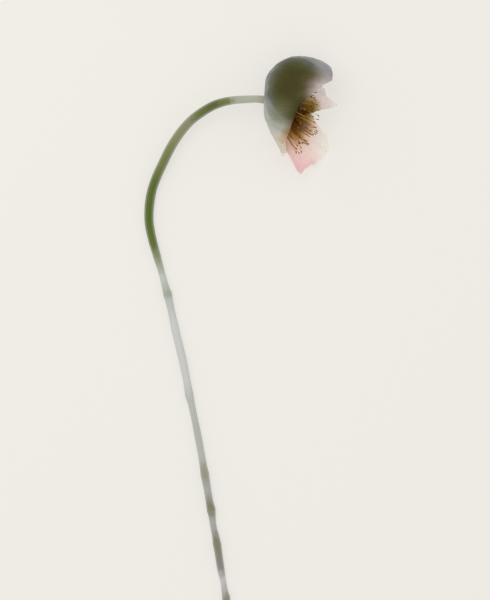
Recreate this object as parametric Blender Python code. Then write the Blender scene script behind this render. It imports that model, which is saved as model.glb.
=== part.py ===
"""A cut poppy with its nodding flower head, lying on a table.

The stem curves over and carries a receptacle, from which grow four petals, a ring of
stamens and the young seed capsule with its stigma disc. The table is the plane z = 0.
+Y runs from the cut end of the stem towards the head, and +X is the side that the
flower opens to. The origin is the middle of the underside of the whole.
"""

import math

import bmesh
import bpy
import numpy as np
from mathutils import Vector

MM = 0.001
GAP = 0.4 * MM

# The head: its joint with the stem is the centre of all the flower's measures.
HEAD_HEIGHT = 14.65 * MM
AXIS_ANGLE = math.radians(-4.0)
AXIS = np.array([math.cos(AXIS_ANGLE), math.sin(AXIS_ANGLE), 0.0])
ACROSS = np.array([-math.sin(AXIS_ANGLE), math.cos(AXIS_ANGLE), 0.0])
UP = np.array([0.0, 0.0, 1.0])

# Receptacle, the small disc that everything grows from.
RECEPTACLE_RADIUS = 3.4 * MM
RECEPTACLE_BACK = -0.6 * MM
RECEPTACLE_FRONT = 2.0 * MM

# Petals: lengths in mm, angles in degrees. A lean is the angle between the petal and the
# flower's axis, given at even steps from base to tip, for meridians across the petal
# (-1 and 1 are its two side edges). Azimuth 0 points across, 90 up and 180 back.
PETAL_THICKNESS = 0.4 * MM
PETAL_BASE_RADIUS = RECEPTACLE_RADIUS + PETAL_THICKNESS / 2 + GAP
FLATTENING = 0.45
ROUND_BASE = 8.0 * MM
TABLE_CLEARANCE = 0.25 * MM
TABLE_SOFTNESS = 0.7 * MM
PETALS = {
    "hood_petal": dict(
        azimuth=20, spread=116, length=52.6, base=-0.3, grid=(20, 28), ruffle=0.5, waves=3, phase=0.5,
        leans={
            -1.0: (104, 86, 66, 50, 34, 12, -4, -14, -24, -40, -60),
            -0.17: (106, 85, 57, 42, 29, 8, -5, -16, -32, -78, -135),
            0.4: (106, 87, 61, 44, 30, 13, 2, -11, -28, -62, -108),
            0.75: (104, 88, 70, 55, 38, 25, 14, 2, -10, -20, -30),
            1.0: (99, 86, 72, 63, 57, 54, 50, 42, 34, 26, 16),
        },
        reach={-1: 0.50, -0.75: 0.70, -0.4: 0.89, -0.2: 0.93, -0.05: 0.94, 0.1: 0.94, 0.22: 0.925, 0.3: 0.885,
               0.4: 0.80, 0.52: 0.705, 0.65: 0.61, 0.78: 0.575, 0.9: 0.57, 1: 0.56},
    ),
    "lower_petal": dict(
        azimuth=184, spread=64, length=28.5, base=0.5, grid=(12, 16), ruffle=0.5, waves=4, phase=1.0,
        leans={
            -1.0: (92, 76, 59, 52, 46, 42),
            -0.3: (95, 78, 60, 55, 57, 59),
            0.3: (95, 78, 60, 55, 57, 58),
            1.0: (92, 76, 61, 54, 50, 48),
        },
        reach={-1: 0.78, -0.6: 0.85, -0.2: 0.91, 0.15: 0.91, 0.6: 0.84, 1: 0.76},
    ),
    "pink_petal": dict(
        azimuth=212, spread=38.5, length=41, base=1.75, grid=(14, 17), ruffle=0.5, waves=4, phase=2.0,
        leans={
            -1.0: (80, 66, 57, 55, 59, 62),
            -0.57: (80, 64, 55, 52, 56, 59),
            -0.14: (78, 58, 47, 43, 44, 45),
            0.29: (74, 52, 40, 35, 33, 32),
            0.72: (70, 50, 39, 33, 31, 30),
            1.0: (68, 50, 39, 34, 32, 31),
        },
        reach={-1: 0.82, -0.83: 0.88, -0.57: 0.885, -0.22: 0.92, 0.12: 1.0, 0.38: 1.04, 0.6: 1.0, 0.8: 0.91,
               1: 0.80},
    ),
    "back_petal": dict(
        azimuth=295, spread=41, length=44, base=1.4, grid=(14, 14), ruffle=0.4, waves=3, phase=0.3,
        leans={
            -1.0: (90, 60, 28, 12, 2, -4),
            1.0: (90, 58, 24, 4, -10, -18),
        },
        reach={-1: 0.62, -0.8: 0.80, -0.6: 1.0, -0.4: 0.91, 0: 0.83, 0.5: 0.77, 1: 0.7},
    ),
}

# Stem: points of its centre line from the head to the cut end, and its radius there, in mm.
# x and y are measured from the head joint; the height is what the stem stands clear of the table.
STEM_POINTS = (
    (-1.1, 0.1, 13.1, 2.0), (-4.0, 0.4, 12.9, 1.85), (-9.8, 0.3, 12.5, 1.9), (-17.7, -0.3, 11.6, 2.05),
    (-25.6, -2.4, 10.3, 2.25), (-31.6, -5.7, 9.0, 2.3), (-37.7, -10.3, 7.4, 2.3), (-43.7, -17.2, 5.4, 2.35),
    (-48.0, -24.0, 3.9, 2.4), (-51.6, -31.2, 2.5, 2.4), (-55.0, -38.5, 1.3, 2.4), (-57.1, -44.5, 0.6, 2.4),
    (-58.6, -53.5, 0.1, 2.4), (-58.6, -61.5, 0.0, 2.3), (-57.1, -69.4, 0.0, 2.2), (-55.0, -77.0, 0.0, 2.0),
    (-52.0, -87.5, 0.0, 1.65), (-50.3, -94.0, 0.0, 1.9), (-49.4, -97.0, 0.0, 2.2), (-48.6, -100.5, 0.0, 1.95),
    (-45.5, -115.0, 0.0, 2.0), (-41.2, -133.0, 0.0, 2.0), (-39.1, -144.0, 0.0, 1.95), (-38.5, -147.5, 0.0, 2.1),
    (-37.7, -151.0, 0.0, 1.85), (-34.0, -169.0, 0.0, 1.8), (-31.3, -184.0, 0.0, 1.9), (-30.7, -187.5, 0.0, 2.1),
    (-30.1, -191.0, 0.0, 2.0), (-28.2, -202.0, 0.0, 1.95), (-27.5, -205.5, 0.0, 2.15), (-27.0, -209.0, 0.0, 1.8),
    (-26.3, -214.0, 0.0, 1.6), (-25.2, -219.0, 0.0, 1.8), (-24.6, -222.5, 0.0, 2.05), (-24.0, -226.0, 0.0, 1.95),
    (-22.5, -236.0, 0.0, 1.8), (-21.3, -242.0, 0.0, 1.45), (-20.6, -246.5, 0.0, 1.65), (-20.0, -249.5, 0.0, 2.0),
    (-19.5, -252.5, 0.0, 1.85), (-18.7, -258.0, 0.0, 1.85),
)
STEM_STEP = 3.4 * MM
STEM_SIDES = 10

# Seed capsule and stigma disc: distance along the axis and radius, in mm.
CAPSULE_PROFILE = (
    (2.5, 0.8), (3.8, 1.0), (5.4, 1.9), (7.2, 3.1), (9.2, 3.95), (11.2, 4.2), (13.2, 3.9), (14.8, 3.2), (15.7, 2.3),
)
CAPSULE_RIBS = 10
CAPSULE_RIB_HEIGHT = 0.03
CAPSULE_SIDES = 40
STIGMA_PROFILE = ((16.1, 2.4), (16.4, 3.8), (16.9, 4.3), (17.4, 3.7), (17.9, 1.5), (18.0, 0.6))
STIGMA_SCALLOP = 0.08

# Stamens: three rings of filaments, each ending in an anther. Lengths in mm, leans in degrees.
STAMEN_RINGS = (
    dict(count=11, radius=1.5, leans=(42, 12), length=25, crowding=0.0),
    dict(count=17, radius=2.25, leans=(51, 28), length=24.5, crowding=0.5),
    dict(count=22, radius=3.0, leans=(60, 40), length=24, crowding=1.0),
)
STAMEN_FOOT = RECEPTACLE_FRONT + GAP
FILAMENT_RADIUS = 0.15 * MM
ANTHER_LENGTH = 2.4 * MM
ANTHER_RADIUS = 0.55 * MM
STAMEN_SIDES = 6
STAMEN_DROOP = 3.0 * MM
STAMEN_SWAY = 6.0
STAMEN_ROOM = {0: 1.0, 60: 1.0, 120: 1.0, 170: 1.0, 200: 0.85, 235: 0.76, 270: 0.74, 320: 0.76, 360: 1.0}

COLOURS = {
    "stem": (0.24, 0.28, 0.18),
    "receptacle": (0.30, 0.31, 0.20),
    "seed_capsule": (0.22, 0.25, 0.12),
    "stigma_disc": (0.10, 0.05, 0.02),
    "hood_petal": (0.13, 0.12, 0.05),
    "lower_petal": (0.36, 0.35, 0.28),
    "pink_petal": (0.78, 0.55, 0.52),
    "back_petal": (0.48, 0.38, 0.37),
    "stamen": (0.36, 0.20, 0.05),
}


def clear_scene():
    for thing in list(bpy.data.objects):
        bpy.data.objects.remove(thing, do_unlink=True)


def material(name, roughness=0.6):
    """A Principled material of the piece's colour, made once for each name."""
    made = bpy.data.materials.get(name) or bpy.data.materials.new(name)
    made.use_nodes = True
    shader = made.node_tree.nodes["Principled BSDF"]
    shader.inputs["Base Color"].default_value = (*COLOURS[name], 1.0)
    shader.inputs["Roughness"].default_value = roughness
    shader.inputs["Metallic"].default_value = 0.0
    return made


def smooth(x, knots, values):
    """A smooth curve through the values at the knots, read at x (cubic Hermite)."""
    knots = np.asarray(knots, float)
    values = np.asarray(values, float)
    slopes = np.gradient(values, knots)
    i = np.clip(np.searchsorted(knots, x) - 1, 0, len(knots) - 2)
    width = knots[i + 1] - knots[i]
    t = (x - knots[i]) / width
    return (
        (2 * t**3 - 3 * t**2 + 1) * values[i]
        + (t**3 - 2 * t**2 + t) * width * slopes[i]
        + (3 * t**2 - 2 * t**3) * values[i + 1]
        + (t**3 - t**2) * width * slopes[i + 1]
    )


def flattened(out):
    """The flower is round at its base and flattens to an oval further out from its axis."""
    return FLATTENING * out + (1 - FLATTENING) * ROUND_BASE * np.tanh(out / ROUND_BASE)


def place(along, out, azimuth):
    """World points from the distance along the axis, out from it, and the azimuth round it.

    The head is flattened by its own weight, and what would go below the table lies on it.
    """
    across = out * np.cos(azimuth)
    height = flattened(out) * np.sin(azimuth) + HEAD_HEIGHT
    above = height - TABLE_CLEARANCE
    height = TABLE_CLEARANCE + (above + np.sqrt(above**2 + TABLE_SOFTNESS**2)) / 2
    return along[..., None] * AXIS + across[..., None] * ACROSS + height[..., None] * UP


def petal_points(petal, rows, columns):
    """The petal's middle surface: each column is a meridian that bends by its own leans."""
    across = np.linspace(-1, 1, columns)
    steps = np.linspace(0, 1, 301)
    meridians = sorted(petal["leans"])
    table = np.array([petal["leans"][key] for key in meridians], float)
    knots = np.linspace(0, 1, table.shape[1])
    leans = np.stack([smooth(across, meridians, table[:, k]) for k in range(len(knots))], axis=1)
    lean = np.radians(np.stack([smooth(steps, knots, column) for column in leans], axis=1))
    step = petal["length"] * MM / (len(steps) - 1)
    along = petal["base"] * MM + step * np.cumsum(np.cos(lean), axis=0)
    out = PETAL_BASE_RADIUS + step * np.cumsum(np.sin(lean), axis=0)
    reach = smooth(across, list(petal["reach"]), list(petal["reach"].values()))
    u = np.linspace(0, 1, rows)[:, None] * reach[None, :]
    row = np.minimum((u * (len(steps) - 1)).astype(int), len(steps) - 2)
    part = u * (len(steps) - 1) - row
    column = np.broadcast_to(np.arange(columns), row.shape)
    along = along[row, column] * (1 - part) + along[row + 1, column] * part
    out = out[row, column] * (1 - part) + out[row + 1, column] * part
    wave = petal["waves"] * math.pi * across[None, :]
    ripple = np.sin(wave + petal["phase"]) + 0.5 * np.sin(2.3 * wave + 1.3 + 3 * u)
    out = out + petal["ruffle"] * MM * u**2 * ripple
    azimuth = np.radians(petal["azimuth"] + across * petal["spread"])[None, :]
    return place(along, out, np.broadcast_to(azimuth, out.shape))


def add_mesh(name, vertices, faces, look, parent, smooth_shading=True):
    """A named mesh object on the parent empty, with its faces turned outwards."""
    mesh = bpy.data.meshes.new(name)
    mesh.from_pydata([tuple(point) for point in vertices], [], faces)
    shape = bmesh.new()
    shape.from_mesh(mesh)
    bmesh.ops.recalc_face_normals(shape, faces=shape.faces)
    shape.to_mesh(mesh)
    shape.free()
    if smooth_shading:
        mesh.shade_smooth()
        mesh.set_sharp_from_angle(angle=math.radians(50))
    mesh.materials.append(look)
    piece = bpy.data.objects.new(name, mesh)
    bpy.context.scene.collection.objects.link(piece)
    piece.parent = parent
    return piece


def grid_faces(rows, columns, closed=False):
    """Quads of a grid, wrapped round its columns when it is closed."""
    last = columns if closed else columns - 1
    return [
        (r * columns + c, r * columns + (c + 1) % columns,
         (r + 1) * columns + (c + 1) % columns, (r + 1) * columns + c)
        for r in range(rows - 1)
        for c in range(last)
    ]


def tube(name, rings, look, parent):
    """A closed solid through rings of points, shape (rings, sides, 3), with flat ends."""
    count, sides = rings.shape[:2]
    faces = grid_faces(count, sides, closed=True)
    faces.append(tuple(range(sides)))
    faces.append(tuple((count - 1) * sides + k for k in range(sides)))
    return add_mesh(name, rings.reshape(-1, 3), faces, look, parent)


def rings_along(path, radii, sides):
    """Rings square to a path, kept from twisting by carrying one sideways vector along it."""
    path = np.asarray(path)
    direction = np.gradient(path, axis=0)
    direction /= np.linalg.norm(direction, axis=1)[:, None]
    side = np.cross(direction[0], UP)
    angle = np.arange(sides) * 2 * math.pi / sides
    rings = []
    for point, forward, radius in zip(path, direction, radii):
        side = side - forward * side.dot(forward)
        side /= np.linalg.norm(side)
        other = np.cross(forward, side)
        round_it = np.cos(angle)[:, None] * side + np.sin(angle)[:, None] * other
        rings.append(point + radius * round_it)
    return np.array(rings)


def turned_rings(profile, sides, swell=None):
    """Rings of a profile turned about the flower's axis; swell changes the radius by angle."""
    angle = np.arange(sides) * 2 * math.pi / sides
    scale = np.ones(sides) if swell is None else swell(angle)
    centre = HEAD_HEIGHT * UP
    rings = []
    for along, radius in profile:
        out = radius * scale
        rings.append(
            centre + along * AXIS + (out * np.cos(angle))[:, None] * ACROSS
            + (out * np.sin(angle))[:, None] * UP
        )
    return np.array(rings)


def build_stem(parent):
    """The stem, from under the head round its bend and along the table to the cut."""
    points = np.array(STEM_POINTS) * MM
    spacing = np.linalg.norm(np.diff(points[:, :3], axis=0), axis=1)
    at = np.concatenate([[0.0], np.cumsum(spacing)])
    steps = np.unique(np.concatenate([at, np.arange(0, at[-1], STEM_STEP)]))
    steps = steps[np.concatenate([[True], np.diff(steps) > STEM_STEP / 3])]
    x, y, clear, radius = (smooth(steps, at, points[:, k]) for k in range(4))
    flat_side = math.cos(math.pi / STEM_SIDES)
    height = np.maximum(clear, 0) + radius * flat_side
    path = np.stack([x, y, height], axis=1)
    return tube("stem", rings_along(path, radius, STEM_SIDES), material("stem"), parent)


def build_receptacle(parent):
    """A fat round-edged disc, the same from both ends."""
    edge = 0.35 * MM
    profile = (
        (RECEPTACLE_BACK, RECEPTACLE_RADIUS - 0.5 * MM),
        (RECEPTACLE_BACK + edge, RECEPTACLE_RADIUS - 0.15 * MM),
        ((RECEPTACLE_BACK + RECEPTACLE_FRONT) / 2, RECEPTACLE_RADIUS),
        (RECEPTACLE_FRONT - edge, RECEPTACLE_RADIUS - 0.15 * MM),
        (RECEPTACLE_FRONT, RECEPTACLE_RADIUS - 0.5 * MM),
    )
    return tube("receptacle", turned_rings(profile, 24), material("receptacle"), parent)


def build_capsule(parent):
    """The young seed capsule, faintly ribbed, on its short stalk."""
    profile = [(along * MM, radius * MM) for along, radius in CAPSULE_PROFILE]
    rings = turned_rings(
        profile, CAPSULE_SIDES, lambda angle: 1 + CAPSULE_RIB_HEIGHT * np.cos(CAPSULE_RIBS * angle)
    )
    return tube("seed_capsule", rings, material("seed_capsule"), parent)


def build_stigma_disc(parent):
    """The rayed cap of the capsule, with a scalloped edge of one lobe to each rib."""
    profile = [(along * MM, radius * MM) for along, radius in STIGMA_PROFILE]
    rings = turned_rings(
        profile, CAPSULE_SIDES, lambda angle: 1 + STIGMA_SCALLOP * np.cos(CAPSULE_RIBS * angle)
    )
    return tube("stigma_disc", rings, material("stigma_disc"), parent)


def build_petal(name, petal, parent):
    """One petal: its middle surface given a wall by Solidify."""
    rows, columns = petal["grid"]
    points = petal_points(petal, rows, columns)
    piece = add_mesh(name, points.reshape(-1, 3), grid_faces(rows, columns), material(name), parent)
    wall = piece.modifiers.new("Wall", "SOLIDIFY")
    wall.thickness = PETAL_THICKNESS
    wall.offset = 0.0
    wall.use_even_offset = True
    return piece


def stamen_path(ring, index, steps):
    """A filament's centre line: it leans out from the axis, then less and less, and droops."""
    turn = index / ring["count"]
    azimuth = 360 * turn + 47 * ring["radius"]
    room = smooth(azimuth % 360, list(STAMEN_ROOM), list(STAMEN_ROOM.values()))
    start, end = ring["leans"]
    sway = STAMEN_SWAY * math.sin(2.4 * index + ring["radius"])
    length = ring["length"] * (1 + 0.07 * math.sin(1.7 * index)) * MM
    lean = np.radians(start + (end - start) * steps + sway * steps**2)
    stride = length / (len(steps) - 1)
    along = STAMEN_FOOT + np.concatenate([[0], np.cumsum(np.cos(lean[1:]) * stride)])
    out = np.concatenate([[0], np.cumsum(np.sin(lean[1:]) * stride)])
    out = ring["radius"] * MM + out * (1 - (1 - room) * ring["crowding"])
    angle = math.radians(azimuth)
    across = out * math.cos(angle) - STAMEN_DROOP * steps**2
    height = HEAD_HEIGHT + flattened(out) * math.sin(angle)
    return along[:, None] * AXIS + across[:, None] * ACROSS + height[:, None] * UP


def build_stamens(parent):
    """Each stamen is one solid: a filament that swells into its anther."""
    steps = np.array([0, 0.2, 0.4, 0.6, 0.76, 0.88, 0.90, 0.93, 0.97, 1.0])
    fine = np.linspace(0, 1, 101)
    made = 0
    for ring in STAMEN_RINGS:
        for index in range(ring["count"]):
            made += 1
            path = stamen_path(ring, index, fine)
            at = np.linalg.norm(np.diff(path, axis=0), axis=1).cumsum()
            at = np.concatenate([[0], at])
            foot_to_anther = at[-1] - ANTHER_LENGTH
            places = np.concatenate([
                foot_to_anther * steps[:5] / steps[5],
                foot_to_anther + ANTHER_LENGTH * np.array([0, 0.18, 0.5, 0.82, 1.0]),
            ])
            points = np.stack([np.interp(places, at, path[:, k]) for k in range(3)], axis=1)
            radii = np.array([1] * 6 + [0] * 4) * FILAMENT_RADIUS
            radii[6:] = ANTHER_RADIUS * np.array([0.85, 1.0, 0.85, 0.35])
            tube(f"stamen_{made:02d}", rings_along(points, radii, STAMEN_SIDES), material("stamen"), parent)


def settle(parent):
    """Moves the whole so that its lowest point is at z = 0 and the origin is in its middle."""
    bpy.context.view_layer.update()
    graph = bpy.context.evaluated_depsgraph_get()
    corners = []
    for piece in parent.children:
        evaluated = piece.evaluated_get(graph)
        mesh = evaluated.to_mesh()
        corners += [evaluated.matrix_world @ vertex.co for vertex in mesh.vertices]
        evaluated.to_mesh_clear()
    low = Vector(min(point[k] for point in corners) for k in range(3))
    high = Vector(max(point[k] for point in corners) for k in range(3))
    parent.location = (-(low.x + high.x) / 2, -(low.y + high.y) / 2, -low.z)


def main():
    clear_scene()
    poppy = bpy.data.objects.new("poppy", None)
    bpy.context.scene.collection.objects.link(poppy)
    build_stem(poppy)
    build_receptacle(poppy)
    build_capsule(poppy)
    build_stigma_disc(poppy)
    for name, petal in PETALS.items():
        build_petal(name, petal, poppy)
    build_stamens(poppy)
    settle(poppy)


main()
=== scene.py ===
"""A cut poppy with its nodding, fading flower head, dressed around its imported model.

Four crepe-thin petals hood a ring of stamens and a ribbed young seed capsule, at the end of
a long stem that bends over under the head. The plant lies on a pale table, z = 0.

Every new surface is a function of two parameters on a grid, or a profile carried along a
path, and is worked out with numpy as whole arrays. Lengths are in metres, apart from names
that end in _mm, and angles are in radians, apart from those that a name or a note gives in
degrees. The flower's own measures are the distance along its axis, the distance out from it
and the azimuth round it, where azimuth 0 points across towards the top of the head, 90 up and
180 to its underside. A colour is written as the six hex digits of its display colour.
"""

import logging
import math
from collections.abc import Iterable, Sequence
from dataclasses import dataclass, field
from enum import Enum

import bpy
import numpy as np
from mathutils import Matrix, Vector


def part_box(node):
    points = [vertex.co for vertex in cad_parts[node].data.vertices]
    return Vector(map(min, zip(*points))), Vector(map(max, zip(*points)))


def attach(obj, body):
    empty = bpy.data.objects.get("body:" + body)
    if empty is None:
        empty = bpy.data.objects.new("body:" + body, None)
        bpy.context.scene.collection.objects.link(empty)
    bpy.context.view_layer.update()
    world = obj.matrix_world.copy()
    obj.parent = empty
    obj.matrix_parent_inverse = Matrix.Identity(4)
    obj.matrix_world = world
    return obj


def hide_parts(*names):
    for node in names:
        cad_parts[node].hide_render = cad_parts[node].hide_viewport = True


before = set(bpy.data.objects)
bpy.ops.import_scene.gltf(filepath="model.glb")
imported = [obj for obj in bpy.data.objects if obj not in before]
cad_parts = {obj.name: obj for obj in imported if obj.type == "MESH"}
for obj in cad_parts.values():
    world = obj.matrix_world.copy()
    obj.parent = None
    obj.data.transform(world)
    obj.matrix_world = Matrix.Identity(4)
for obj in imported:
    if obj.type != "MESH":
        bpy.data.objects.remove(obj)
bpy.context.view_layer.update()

logging.basicConfig(level=logging.INFO, format="%(name)s: %(message)s", force=True)
log = logging.getLogger("poppy")

MM = 0.001
BODY = "root"
NOISE_TABLE = 128

Array = np.ndarray
Colour = str
Socket = bpy.types.NodeSocket


def linear(code: Colour) -> tuple[float, float, float, float]:
    """Turns a display colour into the linear one that shaders take.

    Args:
        code: Six hex digits, two each for red, green and blue.

    Returns:
        Linear red, green, blue and an alpha of 1.
    """
    parts = [int(code[k : k + 2], 16) / 255 for k in (0, 2, 4)]
    red, green, blue = (p / 12.92 if p <= 0.04045 else ((p + 0.055) / 1.055) ** 2.4 for p in parts)
    return (red, green, blue, 1.0)


# ---------------------------------------------------------------- curves and noise


def smooth(x: Array, knots: Sequence[float], values: Sequence[float] | Array) -> Array:
    """A smooth curve through values at knots: a cubic Hermite, each slope from the knots beside it.

    Args:
        x: Where the curve is read.
        knots: Rising places of the known values.
        values: The value at each knot.

    Returns:
        The curve's height at each x.
    """
    at = np.asarray(knots, float)
    known = np.asarray(values, float)
    slopes = np.gradient(known, at)
    i = np.clip(np.searchsorted(at, x) - 1, 0, len(at) - 2)
    width = at[i + 1] - at[i]
    t = (x - at[i]) / width
    return (
        (2 * t**3 - 3 * t**2 + 1) * known[i]
        + (t**3 - 2 * t**2 + t) * width * slopes[i]
        + (3 * t**2 - 2 * t**3) * known[i + 1]
        + (t**3 - t**2) * width * slopes[i + 1]
    )


def ease(x: Array, low: float, high: float) -> Array:
    """Rises from 0 at low to 1 at high, level at both ends."""
    t = np.clip((x - low) / (high - low), 0, 1)
    return t * t * (3 - 2 * t)


def noise(x: Array, y: Array, seed: int) -> Array:
    """Smooth noise: random heights at whole-number points, blended between by an easing curve.

    Args:
        x: First coordinate, one noise cell to a unit.
        y: Second coordinate.
        seed: Picks the random heights.

    Returns:
        Heights from -1 to 1, of the shape of x and y together.
    """
    size = NOISE_TABLE
    table = np.random.default_rng(seed).uniform(-1, 1, (size, size))
    x, y = np.broadcast_arrays(x, y)
    left, low = np.floor(x).astype(int), np.floor(y).astype(int)
    fx, fy = ease(x - left, 0, 1), ease(y - low, 0, 1)
    left, right = left % size, (left + 1) % size
    low, high = low % size, (low + 1) % size
    return (
        table[left, low] * (1 - fx) * (1 - fy)
        + table[right, low] * fx * (1 - fy)
        + table[left, high] * (1 - fx) * fy
        + table[right, high] * fx * fy
    )


def crumple(x: Array, y: Array, seed: int, octaves: int = 3) -> Array:
    """Creased noise, like crepe: noise folded into ridges at its zeros, added at halving scales.

    Args:
        x: First coordinate, one crease to about a unit.
        y: Second coordinate.
        seed: Picks the creases.
        octaves: How many scales are added.

    Returns:
        Heights of about -0.5 to 0.5.
    """
    total = np.zeros(np.broadcast(x, y).shape)
    for k in range(octaves):
        layer = np.abs(noise(x * 2**k + 7.3 * k, y * 2**k + 3.1 * k, seed + k))
        total += (0.5 - 1.6 * layer) * 0.5**k
    return total / 1.6


# ---------------------------------------------------------------- meshes


def make_piece(
    name: str, points: Array, quads: Array, caps: Iterable[Sequence[int]] = (),
    values: dict[str, Array] | None = None, sharp_degrees: float = 60.0,
) -> bpy.types.Object:
    """Makes a smooth-shaded mesh object from arrays.

    Args:
        name: The piece's name.
        points: Vertex places, shape (n, 3).
        quads: Four vertex numbers to a face, shape (m, 4).
        caps: Further faces with any number of corners, such as a tube's ends.
        values: Numbers stored on the vertices, by name, for the materials to read.
        sharp_degrees: Edges that turn more than this are shaded sharp.

    Returns:
        The new object, at the origin.
    """
    mesh = bpy.data.meshes.new(name)
    faces = [tuple(face) for face in quads.tolist()] + [tuple(cap) for cap in caps]
    mesh.from_pydata(np.asarray(points, float), [], faces)
    for key, numbers in (values or {}).items():
        stored = mesh.attributes.new(key, "FLOAT", "POINT")
        stored.data.foreach_set("value", np.ascontiguousarray(numbers, np.float32).ravel())
    mesh.shade_smooth()
    mesh.set_sharp_from_angle(angle=math.radians(sharp_degrees))
    piece = bpy.data.objects.new(name, mesh)
    bpy.context.scene.collection.objects.link(piece)
    return piece


def grid_quads(rows: int, columns: int, wrap: bool = False, first: int = 0) -> Array:
    """Quads of a grid of vertices, stored row by row.

    Args:
        rows: Rows of vertices.
        columns: Vertices in a row.
        wrap: Whether the last column joins the first.
        first: The number of the grid's first vertex.

    Returns:
        Vertex numbers, shape (faces, 4). Their normal is (row step) x (column step).
    """
    r = np.arange(rows - 1)[:, None]
    c = np.arange(columns if wrap else columns - 1)[None, :]
    after = (c + 1) % columns
    corners = [r * columns + c, (r + 1) * columns + c, (r + 1) * columns + after, r * columns + after]
    return np.stack(corners, axis=-1).reshape(-1, 4) + first


def tube_piece(name: str, rings: Array, values: dict[str, Array]) -> bpy.types.Object:
    """A closed tube through rings of points, with a flat face at each end.

    Args:
        name: The piece's name.
        rings: Points, shape (rings, sides, 3); each ring runs anticlockwise seen from the last ring.
        values: Numbers for the vertices, each of shape (rings, sides).

    Returns:
        The new object.
    """
    count, sides = rings.shape[:2]
    quads = grid_quads(count, sides, wrap=True)
    ends = (np.arange(sides), np.arange(sides)[::-1] + (count - 1) * sides)
    piece = make_piece(name, rings.reshape(-1, 3), quads, ends, values)
    turn_outwards(piece)
    return piece


def turn_outwards(piece: bpy.types.Object) -> None:
    """Flips a closed mesh whose faces point inwards, told by the sign of its volume."""
    mesh = piece.data
    mesh.calc_loop_triangles()
    points = np.empty(len(mesh.vertices) * 3)
    mesh.vertices.foreach_get("co", points)
    corners = np.empty(len(mesh.loop_triangles) * 3, np.int32)
    mesh.loop_triangles.foreach_get("vertices", corners)
    triangles = (points.reshape(-1, 3) - points.reshape(-1, 3).mean(axis=0))[corners.reshape(-1, 3)]
    if np.linalg.det(triangles).sum() < 0:
        mesh.flip_normals()


def dress(
    piece: bpy.types.Object, material: bpy.types.Material, nodes: Iterable[str]
) -> bpy.types.Object:
    """Gives a piece its material, sets it on the body and hides the imported parts that it stands for.

    Args:
        piece: The piece.
        material: What it is made of.
        nodes: The nodes that the piece stands for.

    Returns:
        The same piece.
    """
    piece.data.materials.append(material)
    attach(piece, BODY)
    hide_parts(*nodes)
    return piece


def turns(sides: int) -> Array:
    """Angles once round a section, in even steps from 0."""
    return np.arange(sides) * 2 * math.pi / sides


def run_along(points: Array) -> Array:
    """Length along a path at each of its points, from 0."""
    return np.concatenate([[0.0], np.cumsum(np.linalg.norm(np.diff(points, axis=0), axis=1))])


def unit(vectors: Array) -> Array:
    """The same directions, one long."""
    return vectors / np.maximum(np.linalg.norm(vectors, axis=-1, keepdims=True), 1e-12)


def facing(surface: Array) -> Array:
    """Which way a grid of points faces: (row step) x (column step), one long."""
    return unit(np.cross(np.gradient(surface, axis=0), np.gradient(surface, axis=1)))


# ---------------------------------------------------------------- shader graphs


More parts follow.
